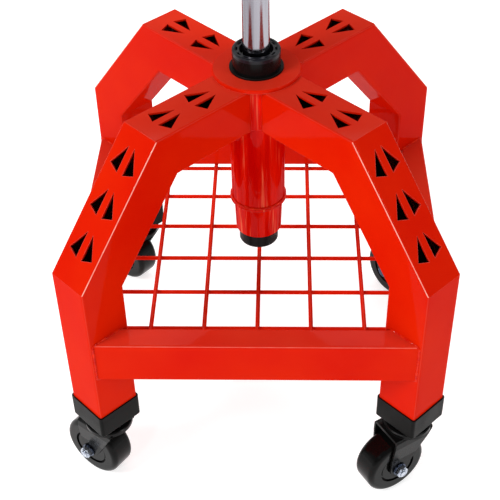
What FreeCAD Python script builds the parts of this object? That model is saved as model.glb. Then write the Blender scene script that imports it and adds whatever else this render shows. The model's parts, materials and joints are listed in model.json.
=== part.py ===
"""Rolling mechanic's creeper seat: a four-legged box-tube base with a wire tool tray, swivel casters,
a gas lift and a round padded seat.

Millimetres, +Z up.  The origin is on the floor, on the axis of the gas lift.  The front is -Y.
Each function makes one kind of sub-part; the list at the end writes them, one file per sub-part.
"""
import FreeCAD, Part
import math
import os

V = FreeCAD.Vector
Z_AXIS = V(0, 0, 1)

# ------------------------------------------------------------------ driving dimensions: base frame
HUB_TOP = 441.0            # top face of the four arms above the floor
LEG_SIZE = 50.0            # square box tube
LEG_WALL = 2.0
LEG_EDGE_RADIUS = 2.5
LEG_TOP_BEND_R = 155.5     # distance from the axis to the upper bend, on the top face
LEG_OUTER_R = 262.6        # distance from the axis to the vertical outer face
LEG_SLOPE_DROP = 130.0     # height lost along the sloping part, on the outer face
LEG_ANGLES = {"front_left": 225, "front_right": 315, "rear_right": 45, "rear_left": 135}

CUTOUT_LENGTH = 28.7       # arrow-shaped windows: length beside the middle strip
CUTOUT_SWEEP = 5.5         # how much shorter they are at their outer corner
CUTOUT_WIDTH = 13.4
CUTOUT_STRIP = 8.2         # width of the strip left between the two halves
CUTOUT_PITCH = 46.9
ARM_CUTOUT_START = 60.5    # tip of the first pair, from the axis
ARM_CUTOUT_PAIRS = 2
SLOPE_CUTOUT_START = 17.1  # tip of the first pair, from the upper bend
SLOPE_CUTOUT_PAIRS = 3
CUTOUT_DEPTH = 8.0

RAIL_OUTER = 201.0         # outer faces of the four rails from the axis
RAIL_THICK = 27.0
RAIL_HEIGHT = 50.0
RAIL_TOP = HUB_TOP - 201.5
RAIL_WALL = 1.6
RAIL_EDGE_RADIUS = 2.5

WIRE_R = 2.4
WIRE_PITCH = 58.5
WIRE_GAP = 0.02            # between crossing wires, and between the wires and the rails
LONG_WIRE_REACH = 194.0
EDGE_WIRE_REACH = 138.5

# ------------------------------------------------------------------ driving dimensions: column
DISC_R = 46.0
DISC_THICK = 4.0
SLEEVE_R = 29.5
SLEEVE_BORE_R = 27.3
SLEEVE_DROP = 160.0        # lower end of the sleeve, below the top of the arms
WELD_RING_R = 31.3
WELD_RING_HEIGHT = 4.5
TAPER_TOP_R = 27.2
TAPER_LOW_R = 25.6
TAPER_DROP = 204.7
LIFT_R = 25.0              # outer tube of the gas lift, above the arms
LIFT_TAPER = 1.6           # how much its radius shrinks down to the end of the taper tube
LIFT_FIT = 0.05
LIFT_TIP_R = 22.2
LIFT_DROP = 223.4
LIFT_BORE_R = 20.5
LIFT_FLOOR = 3.0
COLLAR_TOP = 26.3          # top of the black collar, above the top of the arms
COLLAR_RIM = 5.0
BUSH_DROP = 60.0
BUSH_ROUND = 1.6           # rounding of the bush's outer rim
BUSH_RIM_R = 22.2
BUSH_STEP = 1.2            # depth of the bush's ring below its rim
BUSH_FUNNEL_TOP_R = 17.6
BUSH_FUNNEL_LOW_R = 16.2
BUSH_RECESS = 9.4          # depth of the funnel round the chromed tube
BUSH_SLOTS = 12
BUSH_SLOT_R = 20.2
BUSH_SLOT_WIDTH = 2.0
BUSH_SLOT_SWEEP = 17.0     # degrees
BUSH_SLOT_DEPTH = 3.2
TRIM_RING_R = 28.2
TRIM_RING_HEIGHT = 2.2
CYLINDER_R = 14.0          # chromed pressure tube of the gas lift
CYLINDER_BORE_R = 12.5
CYLINDER_LOW = -90.0       # these heights are measured from the top of the arms
CYLINDER_TOP = 184.5
CYLINDER_CAP = 26.0
CONE_LENGTH = 44.0
CONE_TOP_R = 13.2
GLAND_LENGTH = 14.0
ROD_R = 5.0
ROD_LOW = -226.0
ROD_TOP = -56.0
PISTON_LOW = -72.0
PISTON_LENGTH = 10.0
RUNNING_FIT = 0.06
BUTTON_R = 4.0
BUTTON_LOW = 162.0
BUTTON_TOP = 190.5

# ------------------------------------------------------------------ driving dimensions: casters
FOOT_R = LEG_OUTER_R - LEG_SIZE / 2
SWIVEL_R = FOOT_R - 1.0    # from the column to the casters' swivel axes
CUP_BOTTOM = 100.8
CUP_TOP = 129.8
CUP_WALL = 1.8
CUP_FLOOR = 3.0
CUP_EDGE_RADIUS = 3.5
WHEEL_R = 37.5
WHEEL_WIDTH = 31.0
WHEEL_TRAIL = 21.0         # from the swivel axis to the wheel axle
TREAD_EDGE_RADIUS = 6.0
GROOVE_R = 22.4            # where the hub and the tread meet
GROOVE_WIDTH = 2.4
GROOVE_DEPTH = 2.2
HUB_DISH = 1.2             # how far the hub's faces lie inside the tyre's
HUB_BOSS = 1.4
FORK_PLATE_LOW = 85.0
FORK_PLATE_TOP = 88.0
FORK_RIM_TOP = 92.4
FORK_HEAD_R = 26.5
FORK_RIM_BORE_R = 22.4
FORK_HALF_WIDTH = 20.6
FORK_NOSE_HALF_WIDTH = 18.3
FORK_SLOPE_TOP = 76.0      # between these two heights the cheeks lean in towards the wheel
FORK_SLOPE_LOW = 54.0
FORK_SHEET = 2.3
FORK_FOLD_RADIUS = 3.5
FORK_LEAN = 2.8            # how far the cheeks' front edge leans back towards the top plate
FORK_NOSE_R = 11.5         # rounded end of the cheeks, about the axle
FORK_BACK = 17.0
AXLE_WASHER = 1.6
AXLE_NUT = 5.6             # hexagon of the lock nut, under its round collar
AXLE_NUT_COLLAR = 1.4
RACE_R = 21.8
RACE_LOW = 93.1
BALL_R = 2.5
BALL_CIRCLE_R = 17.0
BALL_COUNT = 16
KINGPIN_R = 5.0
KINGPIN_NUT = 8.0
AXLE_R = 4.0
HEX_M8 = 13.0              # across flats
HEX_M10 = 17.0
SWIVEL_REST = {"front_left": 144.5, "front_right": 212.5, "rear_right": 308.0, "rear_left": 140.0}

# ------------------------------------------------------------------ driving dimensions: seat
PAN_INNER = 34.0           # half width inside the folded box of the seat plate
PAN_SHEET = 3.0
PAN_LOW = 174.0            # heights from the top of the arms
PAN_FLANGE_TOP = 209.0
PAN_FLANGE_HALF = 85.0
BOLT_OFFSET = 65.0
BOLT_R = 3.0
SOCKET_R = 20.0
SOCKET_LOW = 140.5
LEVER_R = 5.0
LEVER_HEIGHT = 196.0
PIVOT_X = 24.0
PIVOT_R = 3.0
LEVER_BOSS_R = 7.5
LEVER_PATH = [(-4.0, 196.0), (41.0, 196.0), (66.0, 179.0), (150.0, 174.0)]
GRIP_LENGTH = 56.0
GRIP_R = 8.5
BOARD_R = 168.0
BOARD_THICK = 12.0
SEAT_R = 178.0
SEAT_LOW = 207.0
SEAT_SIDE_TOP = 262.0
SEAT_CROWN = 13.0
PIPING_R = 3.0


# ------------------------------------------------------------------ shape helpers
def block(x0, x1, y0, y1, z0, z1):
    return Part.makeBox(x1 - x0, y1 - y0, z1 - z0, V(x0, y0, z0))


def rod(radius, z0, z1, x=0.0, y=0.0):
    return Part.makeCylinder(radius, z1 - z0, V(x, y, z0))


def tube(outer, inner, z0, z1):
    return rod(outer, z0, z1).cut(rod(inner, z0 - 1, z1 + 1))


def cross_rod(radius, start, end):
    """A round bar between two points."""
    start, end = V(*start), V(*end)
    return Part.makeCylinder(radius, (end - start).Length, start, end - start)


def face_of(points):
    return Part.Face(Part.makePolygon([*points, points[0]]))


def turned(profile):
    """A solid of revolution about Z from (radius, height) points."""
    return face_of([V(r, 0, z) for r, z in profile]).revolve(V(0, 0, 0), Z_AXIS, 360)


def prism(profile, half_width):
    """A plate in the XZ plane, as wide as stated on both sides of it."""
    return face_of([V(x, -half_width, z) for x, z in profile]).extrude(V(0, 2 * half_width, 0))


def spun(shape, degrees, centre=(0.0, 0.0)):
    copy = shape.copy()
    copy.rotate(V(*centre, 0), Z_AXIS, degrees)
    return copy


def moved(shape, x, y, z=0.0):
    copy = shape.copy()
    copy.translate(V(x, y, z))
    return copy


def hexagon(across_flats, z0, z1, bore=0.0):
    corner = across_flats / math.sqrt(3)
    points = [V(corner * math.cos(k * math.pi / 3), corner * math.sin(k * math.pi / 3), z0) for k in range(6)]
    nut = face_of(points).extrude(V(0, 0, z1 - z0))
    chamfer = corner - across_flats / 2
    shell = turned([(0, z0), (corner - chamfer, z0), (corner, z0 + chamfer * 0.6),
                    (corner, z1 - chamfer * 0.6),
                    (corner - chamfer, z1), (0, z1)])
    nut = nut.common(shell)
    return nut.cut(rod(bore, z0 - 1, z1 + 1)) if bore else nut


def rounded_box(half, z0, z1, radius):
    body = block(-half, half, -half, half, z0, z1)
    uprights = [e for e in body.Edges if abs(e.Vertexes[0].Z - e.Vertexes[1].Z) > 1]
    return body.makeFillet(radius, uprights)


def group(solids):
    return Part.makeCompound(solids)


# ------------------------------------------------------------------ base frame
SLOPE = math.atan2(LEG_SLOPE_DROP, LEG_OUTER_R - LEG_TOP_BEND_R)
LEG_BOTTOM = CUP_BOTTOM + CUP_FLOOR


def leg_line(depth):
    """The bent line of the leg at a depth under its outer faces, from the hub to the foot."""
    upper = LEG_TOP_BEND_R - depth * math.tan(SLOPE / 2)
    lower = HUB_TOP - LEG_SLOPE_DROP - depth * math.tan((math.pi / 2 - SLOPE) / 2)
    return [(0.0, HUB_TOP - depth), (upper, HUB_TOP - depth), (LEG_OUTER_R - depth, lower),
            (LEG_OUTER_R - depth, LEG_BOTTOM)]


def leg_prism(outer_depth, inner_depth, half_width, extra):
    outline = leg_line(outer_depth) + leg_line(inner_depth)[::-1]
    outline = [(x, z - extra if z == LEG_BOTTOM else z) for x, z in outline]
    return prism(outline, half_width)


def cutout_pair():
    """Two triangles beside a strip, their tips at the origin side, lying in the XY plane."""
    near = CUTOUT_STRIP / 2
    far = near + CUTOUT_WIDTH
    halves = []
    for side in (1, -1):
        corners = [(0, near), (CUTOUT_LENGTH, near), (CUTOUT_LENGTH - CUTOUT_SWEEP, far)]
        face = face_of([V(x, side * y, -CUTOUT_DEPTH) for x, y in corners])
        halves.append(face.extrude(V(0, 0, 2 * CUTOUT_DEPTH)))
    return group(halves)


def leg(angle):
    half = LEG_SIZE / 2
    body = leg_prism(0, LEG_SIZE, half, 0)
    long_edges = []
    for edge in body.Edges:
        a, b = (v.Point for v in edge.Vertexes)
        on_side = abs(abs(a.y) - half) < 0.01 and abs(a.y - b.y) < 0.01
        at_end = abs(a.x) + abs(b.x) < 0.01 or abs(a.z + b.z - 2 * LEG_BOTTOM) < 0.01
        if on_side and not at_end:
            long_edges.append(edge)
    body = body.makeFillet(LEG_EDGE_RADIUS, long_edges)
    body = body.cut(leg_prism(LEG_WALL, LEG_SIZE - LEG_WALL, half - LEG_WALL, 5))
    for k in range(ARM_CUTOUT_PAIRS):
        body = body.cut(moved(cutout_pair(), ARM_CUTOUT_START + k * CUTOUT_PITCH, 0, HUB_TOP))
    for k in range(SLOPE_CUTOUT_PAIRS):
        pair = moved(cutout_pair(), SLOPE_CUTOUT_START + k * CUTOUT_PITCH, 0)
        pair.rotate(V(0, 0, 0), V(0, 1, 0), math.degrees(SLOPE))
        body = body.cut(moved(pair, LEG_TOP_BEND_R, 0, HUB_TOP))
    reach = LEG_OUTER_R + 10
    wedge = face_of([V(0, 0, 0), V(reach, -reach, 0), V(reach, reach, 0)]).extrude(V(0, 0, HUB_TOP + 10))
    body = body.common(wedge).cut(rod(SLEEVE_R, HUB_TOP - 100, HUB_TOP + 10))
    return spun(body, angle)


def rail(angle):
    """A box tube between two legs, its ends mitred to the legs' side faces."""
    leg_side = LEG_SIZE / 2 * math.sqrt(2)
    low = RAIL_TOP - RAIL_HEIGHT

    def bar(inset, overrun):
        outer = RAIL_OUTER - inset
        inner = RAIL_OUTER - RAIL_THICK + inset
        base = [V(-(outer - leg_side + overrun), -outer, low + inset),
                V(outer - leg_side + overrun, -outer, low + inset),
                V(inner - leg_side + overrun, -inner, low + inset),
                V(-(inner - leg_side + overrun), -inner, low + inset)]
        return face_of(base).extrude(V(0, 0, RAIL_HEIGHT - 2 * inset))

    body = bar(0, 0)
    long_edges = [e for e in body.Edges if abs(e.Vertexes[0].X - e.Vertexes[1].X) > 100]
    body = body.makeFillet(RAIL_EDGE_RADIUS, long_edges)
    return spun(body.cut(bar(RAIL_WALL, 5)), angle)


def tray_wires(layer, quarter_turn):
    """Seven parallel straight wires under the rails, in the first or the second layer down."""
    height = RAIL_TOP - RAIL_HEIGHT - (2 * layer - 1) * (WIRE_R + WIRE_GAP / 2) - WIRE_GAP / 2
    wires = []
    for k in range(-3, 4):
        reach = EDGE_WIRE_REACH if abs(k) == 3 else LONG_WIRE_REACH
        at = k * WIRE_PITCH
        wires.append(cross_rod(WIRE_R, (at, -reach, height), (at, reach, height)))
    return spun(group(wires), quarter_turn)


def hub_cover_disc():
    disc = tube(DISC_R, LIFT_R + LIFT_FIT, HUB_TOP, HUB_TOP + DISC_THICK)
    rim = [e for e in disc.Edges if abs(e.Vertexes[0].Z - HUB_TOP - DISC_THICK) < 0.01
           and e.Length > 2 * math.pi * (DISC_R - 1)]
    return disc.makeFillet(1.5, rim)


def column_socket_sleeve():
    return tube(SLEEVE_R, SLEEVE_BORE_R, HUB_TOP - SLEEVE_DROP, HUB_TOP)


def socket_weld_ring():
    top = HUB_TOP - SLEEVE_DROP
    bulge = 1.4
    return turned([(TAPER_TOP_R, top - WELD_RING_HEIGHT), (WELD_RING_R - bulge, top - WELD_RING_HEIGHT),
                   (WELD_RING_R, top - WELD_RING_HEIGHT + bulge), (WELD_RING_R, top - bulge),
                   (WELD_RING_R - bulge, top), (TAPER_TOP_R, top)])


def lift_line(height, fit):
    """Radius of the taper between the gas lift and its tube, at a height from the arms' top."""
    return LIFT_R + LIFT_TAPER * min(height, 0) / TAPER_DROP - fit


def column_taper_tube():
    low = HUB_TOP - TAPER_DROP
    mid = HUB_TOP - SLEEVE_DROP
    return turned([(TAPER_LOW_R, low), (TAPER_TOP_R, mid), (TAPER_TOP_R, HUB_TOP),
                   (lift_line(0, 0), HUB_TOP), (lift_line(-TAPER_DROP, 0), low)])


# ------------------------------------------------------------------ gas lift
def lift_outer_tube():
    low = HUB_TOP - LIFT_DROP
    top = HUB_TOP + COLLAR_TOP - COLLAR_RIM
    step = HUB_TOP - TAPER_DROP - 1
    corner = 2.0
    return turned([(ROD_R + 1, low), (LIFT_TIP_R - corner, low), (LIFT_TIP_R - 0.6, low + 0.6),
                   (LIFT_TIP_R, low + corner), (LIFT_TIP_R, step - 1),
                   (lift_line(-TAPER_DROP, LIFT_FIT), step),
                   (lift_line(0, LIFT_FIT), HUB_TOP), (lift_line(0, LIFT_FIT), top), (LIFT_BORE_R, top),
                   (LIFT_BORE_R, low + LIFT_FLOOR), (ROD_R + 1, low + LIFT_FLOOR)])


def lift_guide_bush():
    """Plastic bush that closes the outer tube, with a ring of curved slots in its top."""
    low = HUB_TOP - BUSH_DROP
    flange = HUB_TOP + COLLAR_TOP - COLLAR_RIM
    top = HUB_TOP + COLLAR_TOP
    bore = CYLINDER_R + RUNNING_FIT
    bush = turned([(bore, low), (LIFT_BORE_R, low), (LIFT_BORE_R, flange), (LIFT_R, flange),
                   (LIFT_R, top - BUSH_ROUND), (LIFT_R - 0.5, top - 0.5), (LIFT_R - BUSH_ROUND, top),
                   (BUSH_RIM_R, top), (BUSH_RIM_R - 0.8, top - BUSH_STEP), (BUSH_FUNNEL_TOP_R, top - BUSH_STEP),
                   (BUSH_FUNNEL_LOW_R, top - BUSH_RECESS), (bore, top - BUSH_RECESS - 0.8)])
    floor = top - BUSH_SLOT_DEPTH
    ring = tube(BUSH_SLOT_R + BUSH_SLOT_WIDTH / 2, BUSH_SLOT_R - BUSH_SLOT_WIDTH / 2, floor, top + 1)
    far = 2 * LIFT_R
    side = far * math.tan(math.radians(BUSH_SLOT_SWEEP / 2))
    wedge = face_of([V(0, 0, floor), V(far, -side, floor), V(far, side, floor)])
    slot = ring.common(wedge.extrude(V(0, 0, BUSH_SLOT_DEPTH + 1)))
    return bush.cut(group([spun(slot, k * 360 / BUSH_SLOTS) for k in range(BUSH_SLOTS)]))


def lift_trim_ring():
    low = HUB_TOP + DISC_THICK
    top = low + TRIM_RING_HEIGHT
    edge = 0.5
    return turned([(LIFT_R, low), (TRIM_RING_R, low), (TRIM_RING_R, top - edge), (TRIM_RING_R - edge, top),
                   (LIFT_R, top)])


def lift_thrust_washer(low):
    return tube(12.0, ROD_R + 0.3, HUB_TOP + low, HUB_TOP + low + 2.5)


def lift_piston_rod():
    return rod(ROD_R, HUB_TOP + ROD_LOW, HUB_TOP + ROD_TOP)


def lift_piston():
    low = HUB_TOP + PISTON_LOW
    outer = CYLINDER_BORE_R - RUNNING_FIT
    groove = 1.2
    return turned([(ROD_R, low), (outer - 1, low), (outer, low + 1), (outer, low + 4),
                   (outer - groove, low + 4),
                   (outer - groove, low + 6), (outer, low + 6), (outer, low + 9),
                   (outer - 1, low + PISTON_LENGTH),
                   (ROD_R, low + PISTON_LENGTH)])


def lift_retaining_clip():
    top = HUB_TOP - LIFT_DROP - 0.3
    clip = tube(9.0, ROD_R, top - 1.5, top)
    return clip.cut(block(0, 12, -2.5, 2.5, top - 3, top + 1))


def lift_chrome_cylinder():
    low, top = HUB_TOP + CYLINDER_LOW, HUB_TOP + CYLINDER_TOP
    cone = top - CONE_LENGTH
    button_bore = BUTTON_R + RUNNING_FIT
    return turned([(CYLINDER_BORE_R, low), (CYLINDER_R - 0.5, low), (CYLINDER_R, low + 0.5),
                   (CYLINDER_R, cone),
                   (CONE_TOP_R, top), (button_bore, top), (button_bore, top - CYLINDER_CAP),
                   (CYLINDER_BORE_R, top - CYLINDER_CAP)])


def lift_rod_gland():
    low = HUB_TOP + CYLINDER_LOW
    return tube(CYLINDER_BORE_R, ROD_R + RUNNING_FIT, low, low + GLAND_LENGTH)


def lift_valve_button():
    low, top = HUB_TOP + BUTTON_LOW, HUB_TOP + BUTTON_TOP
    return turned([(0, low), (BUTTON_R, low), (BUTTON_R, top - 1), (BUTTON_R - 1, top), (0, top)])


# ------------------------------------------------------------------ casters
def caster_cup(swivel_x, swivel_y):
    """A square plastic shoe over the end of the leg, standing square to it."""
    half = LEG_SIZE / 2 + CUP_WALL
    body = rounded_box(half, CUP_BOTTOM, CUP_TOP, CUP_EDGE_RADIUS)
    foot = [e for e in body.Edges if all(abs(v.Z - CUP_BOTTOM) < 0.01 for v in e.Vertexes)]
    body = body.makeFillet(1.5, foot)
    body = body.cut(rounded_box(LEG_SIZE / 2, CUP_BOTTOM + CUP_FLOOR, CUP_TOP + 1, LEG_EDGE_RADIUS))
    outward = FOOT_R / SWIVEL_R
    body = moved(spun(body, 45), swivel_x * outward, swivel_y * outward)
    return body.cut(moved(rod(KINGPIN_R, CUP_BOTTOM - 1, CUP_TOP), swivel_x, swivel_y))


def caster_kingpin():
    head_top = FORK_PLATE_LOW - 0.3
    tip = CUP_BOTTOM + CUP_FLOOR + KINGPIN_NUT + 3
    return turned([(0, head_top - 4), (6.5, head_top - 4), (9, head_top - 2), (9, head_top),
                   (KINGPIN_R, head_top),
                   (KINGPIN_R, tip - 1), (KINGPIN_R - 1, tip), (0, tip)])


def caster_kingpin_nut():
    low = CUP_BOTTOM + CUP_FLOOR
    return hexagon(HEX_M10, low, low + KINGPIN_NUT, KINGPIN_R)


def caster_top_race():
    return turned([(KINGPIN_R, RACE_LOW), (RACE_R - 1, RACE_LOW), (RACE_R, RACE_LOW + 1),
                   (RACE_R, RACE_LOW + 3.2),
                   (23.5, RACE_LOW + 4.4), (23.5, CUP_BOTTOM), (KINGPIN_R, CUP_BOTTOM)])


def caster_race_balls():
    height = (FORK_PLATE_TOP + RACE_LOW) / 2
    balls = []
    for k in range(BALL_COUNT):
        turn = 2 * math.pi * k / BALL_COUNT
        centre = V(BALL_CIRCLE_R * math.cos(turn), BALL_CIRCLE_R * math.sin(turn), height)
        balls.append(Part.makeSphere(BALL_R, centre))
    return group(balls)


def cheek_outline():
    """Side view of the fork: leaning front edge, round nose about the axle, slanted back edge."""
    back_top = (-FORK_BACK, FORK_PLATE_LOW - 4)
    dx, dz = back_top[0] - WHEEL_TRAIL, back_top[1] - WHEEL_R
    reach = math.hypot(dx, dz)
    tangent = math.atan2(dz, dx) + math.acos(FORK_NOSE_R / reach)
    points = [(WHEEL_TRAIL + FORK_NOSE_R - FORK_LEAN, FORK_PLATE_TOP), (WHEEL_TRAIL + FORK_NOSE_R, WHEEL_R)]
    steps = 16
    sweep = tangent - 2 * math.pi
    for k in range(1, steps + 1):
        turn = sweep * k / steps
        points.append((WHEEL_TRAIL + FORK_NOSE_R * math.cos(turn), WHEEL_R + FORK_NOSE_R * math.sin(turn)))
    return points + [back_top, (-FORK_BACK - 4, FORK_PLATE_TOP)]


def fork_channel(inset, low, top, overrun):
    """The folded channel of the fork as a solid bar along X, its sides leaning in towards the axle."""
    wide, narrow = FORK_HALF_WIDTH - inset, FORK_NOSE_HALF_WIDTH - inset
    side = [(wide, top), (wide, FORK_SLOPE_TOP), (narrow, FORK_SLOPE_LOW), (narrow, low)]
    start = -FORK_BACK - 4 - overrun
    outline = [V(start, y, z) for y, z in side] + [V(start, -y, z) for y, z in side[::-1]]
    return face_of(outline).extrude(V(WHEEL_TRAIL + FORK_NOSE_R + overrun - start, 0, 0))


def caster_fork():
    """A folded steel fork, its trail along +X, with a round dished head for the swivel bearing."""
    outer = fork_channel(0, 20, FORK_PLATE_TOP, 0)
    folds = [e for e in outer.Edges if all(abs(v.Z - FORK_PLATE_TOP) < 0.01 for v in e.Vertexes)
             and abs(e.Vertexes[0].Y - e.Vertexes[1].Y) < 0.01]
    outer = outer.makeFillet(FORK_FOLD_RADIUS, folds)
    inner = fork_channel(FORK_SHEET, 19, FORK_PLATE_LOW, 1)
    body = outer.cut(inner).common(prism(cheek_outline(), FORK_HALF_WIDTH))
    head = turned([(0, FORK_PLATE_LOW), (FORK_HEAD_R - 2, FORK_PLATE_LOW), (FORK_HEAD_R, FORK_PLATE_LOW + 2),
                   (FORK_HEAD_R, FORK_RIM_TOP - 1), (FORK_HEAD_R - 1, FORK_RIM_TOP),
                   (FORK_RIM_BORE_R, FORK_RIM_TOP),
                   (FORK_RIM_BORE_R, FORK_PLATE_TOP), (0, FORK_PLATE_TOP)])
    body = body.cut(rod(FORK_RIM_BORE_R, FORK_PLATE_TOP, FORK_RIM_TOP + 1)).fuse(head)
    body = body.cut(rod(KINGPIN_R + RUNNING_FIT, FORK_PLATE_LOW - 1, FORK_RIM_TOP + 1))
    return body.cut(cross_rod(AXLE_R, (WHEEL_TRAIL, -30, WHEEL_R),
                              (WHEEL_TRAIL, 30, WHEEL_R))).removeSplitter()


def on_axle(shape):
    """Turns a part made about Z at the origin onto the wheel axle of a caster pointing along +X."""
    copy = shape.copy()
    copy.rotate(V(0, 0, 0), V(1, 0, 0), -90)
    return moved(copy, WHEEL_TRAIL, 0, WHEEL_R)


def caster_axle_bolt():
    """Hex bolt through the cheeks, with its washer and lock nut on the +Y side."""
    cheek = FORK_NOSE_HALF_WIDTH
    nut_low = cheek + AXLE_WASHER
    nut_top = nut_low + AXLE_NUT
    collar_top = nut_top + AXLE_NUT_COLLAR
    bore = AXLE_R + RUNNING_FIT
    bolt = hexagon(HEX_M8, -cheek - 5.3, -cheek).fuse(rod(AXLE_R, -cheek - 1, collar_top + 0.8))
    washer = tube(8.2, bore, cheek, nut_low)
    nut = hexagon(HEX_M8, nut_low, nut_top, bore)
    collar = turned([(bore, nut_top), (6.2, nut_top), (5.9, collar_top - 0.5), (5.4, collar_top),
                     (bore, collar_top)])
    return group([on_axle(bolt), on_axle(washer), on_axle(nut.fuse(collar))])


def caster_wheel_hub():
    half = WHEEL_WIDTH / 2
    face = half - HUB_DISH
    lip = GROOVE_R - GROOVE_WIDTH
    floor = face - GROOVE_DEPTH
    right = [(AXLE_R + RUNNING_FIT, face + HUB_BOSS), (8.0, face + HUB_BOSS), (8.6, face), (lip, face),
             (lip, floor),
             (GROOVE_R, floor)]
    left = [(r, -z) for r, z in right[::-1]]
    return on_axle(turned(right + left))


def caster_wheel_tyre():
    half = WHEEL_WIDTH / 2
    edge = TREAD_EDGE_RADIUS
    steps = 6
    crown = []
    for k in range(steps + 1):
        turn = math.pi / 2 * (1 - k / steps)
        crown.append((WHEEL_R - edge + edge * math.cos(turn), half - edge + edge * math.sin(turn)))
    right = [(GROOVE_R, half)] + crown
    left = [(r, -z) for r, z in right[::-1]]
    return on_axle(turned(right + left))


# ------------------------------------------------------------------ seat
def seat_plate():
    low, top = HUB_TOP + PAN_LOW, HUB_TOP + PAN_FLANGE_TOP
    outer = PAN_INNER + PAN_SHEET
    half = PAN_FLANGE_HALF
    flange = rounded_box(half, top - PAN_SHEET, top, 10.0)
    body = flange.fuse(rounded_box(outer, low, top, 6.0))
    body = body.cut(rounded_box(PAN_INNER, low + PAN_SHEET, top + 1, 3.0))
    body = body.cut(rod(SOCKET_R, low - 1, low + 10))
    body = body.cut(block(0, outer + 1, -6.5, 6.5, HUB_TOP + LEVER_HEIGHT - 9, top - PAN_SHEET - 0.5))
    pin = cross_rod(PIVOT_R, (PIVOT_X, -50, HUB_TOP + LEVER_HEIGHT), (PIVOT_X, 50, HUB_TOP + LEVER_HEIGHT))
    holes = [rod(BOLT_R, top - 10, top + 1, sx * BOLT_OFFSET, sy * BOLT_OFFSET) for sx in (1, -1)
             for sy in (1, -1)]
    return body.cut(pin).cut(group(holes)).removeSplitter()


def seat_taper_socket():
    """Welded socket that grips the cone at the top of the chromed tube."""
    low = HUB_TOP + SOCKET_LOW
    top = HUB_TOP + PAN_LOW + PAN_SHEET
    slope = (CYLINDER_R - CONE_TOP_R) / CONE_LENGTH
    top_bore = CYLINDER_R - slope * (top - low)
    return turned([(CYLINDER_R, low), (SOCKET_R - 3, low), (SOCKET_R, low + 6), (SOCKET_R, top),
                   (top_bore, top)])


def lever_pivot_pin():
    reach = PAN_INNER + PAN_SHEET + 2.5
    height = HUB_TOP + LEVER_HEIGHT
    return cross_rod(PIVOT_R, (PIVOT_X, -reach, height), (PIVOT_X, reach, height))


def lever_bar(radius, points):
    path = [(x, 0, HUB_TOP + z) for x, z in points]
    body = cross_rod(radius, path[0], path[1])
    for a, b in zip(path[1:], path[2:]):
        body = body.fuse(Part.makeSphere(radius, V(*a))).fuse(cross_rod(radius, a, b))
    return body


def height_lever():
    height = HUB_TOP + LEVER_HEIGHT
    boss = cross_rod(LEVER_BOSS_R, (PIVOT_X, -5.5, height), (PIVOT_X, 5.5, height))
    bore = cross_rod(PIVOT_R + RUNNING_FIT, (PIVOT_X, -20, height), (PIVOT_X, 20, height))
    return lever_bar(LEVER_R, LEVER_PATH).fuse(boss).cut(bore).removeSplitter()


def lever_grip():
    """Moulded grip pushed over the outer end of the lever."""
    (x0, z0), (x1, z1) = LEVER_PATH[-2:]
    length = math.hypot(x1 - x0, z1 - z0)
    overhang = 4.0
    body = turned([(0, -GRIP_LENGTH), (GRIP_R - 2, -GRIP_LENGTH), (GRIP_R - 0.5, 2 - GRIP_LENGTH),
                   (GRIP_R - 1.5, -GRIP_LENGTH / 2), (GRIP_R, -2.5), (GRIP_R - 2.5, 0), (0, 0)])
    body = body.cut(rod(LEVER_R, -GRIP_LENGTH - 1, -overhang))
    tilt = math.degrees(math.atan2(x1 - x0, z1 - z0))
    body.rotate(V(0, 0, 0), V(0, 1, 0), tilt)
    stretch = (length + overhang) / length
    return moved(body, x0 + (x1 - x0) * stretch, 0, HUB_TOP + z0 + (z1 - z0) * stretch)


def seat_board():
    low = HUB_TOP + PAN_FLANGE_TOP
    board = rod(BOARD_R, low, low + BOARD_THICK)
    pockets = [rod(5.2, low - 1, low + BOARD_THICK - 1.5, sx * BOLT_OFFSET, sy * BOLT_OFFSET)
               for sx in (1, -1) for sy in (1, -1)]
    flanges = [rod(9.2, low + BOARD_THICK - 1.5, low + BOARD_THICK + 1, sx * BOLT_OFFSET, sy * BOLT_OFFSET)
               for sx in (1, -1) for sy in (1, -1)]
    return board.cut(group(pockets)).cut(group(flanges))


def piping_ring(height):
    return Part.makeTorus(SEAT_R - PIPING_R, PIPING_R, V(0, 0, HUB_TOP + height))


def seat_piping():
    return group([piping_ring(SEAT_SIDE_TOP), piping_ring(SEAT_LOW + 8)])


def seat_cushion():
    """Padded disc with a crowned top, wrapped round the edge of the board."""
    low = HUB_TOP + SEAT_LOW
    board_low = HUB_TOP + PAN_FLANGE_TOP
    board_top = board_low + BOARD_THICK
    side = SEAT_R - PIPING_R
    rim = HUB_TOP + SEAT_SIDE_TOP
    crown = rim + SEAT_CROWN
    flat = 0.45
    profile = [V(0, 0, board_top), V(BOARD_R + 0.3, 0, board_top), V(BOARD_R + 0.3, 0, board_low),
               V(BOARD_R - 14, 0, board_low), V(BOARD_R - 14, 0, low), V(side, 0, low), V(side, 0, rim)]
    edges = [Part.makeLine(a, b) for a, b in zip(profile, profile[1:])]
    dome = Part.Arc(V(side, 0, rim), V(side * 0.72, 0, rim + SEAT_CROWN * 0.8),
                    V(side * flat, 0, crown)).toShape()
    edges += [dome, Part.makeLine(V(side * flat, 0, crown), V(0, 0, crown)),
              Part.makeLine(V(0, 0, crown), profile[0])]
    body = Part.Face(Part.Wire(edges)).revolve(V(0, 0, 0), Z_AXIS, 360)
    return body.cut(piping_ring(SEAT_SIDE_TOP)).cut(piping_ring(SEAT_LOW + 8))


def seat_bolt():
    """Hex screw with its washer face, from under the flange of the seat plate."""
    flange = HUB_TOP + PAN_FLANGE_TOP - PAN_SHEET
    return hexagon(10.0, flange - 5.5, flange - 1.2).fuse(rod(7.0, flange - 1.2, flange)).fuse(
        rod(BOLT_R, flange - 1, flange + 12))


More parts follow.
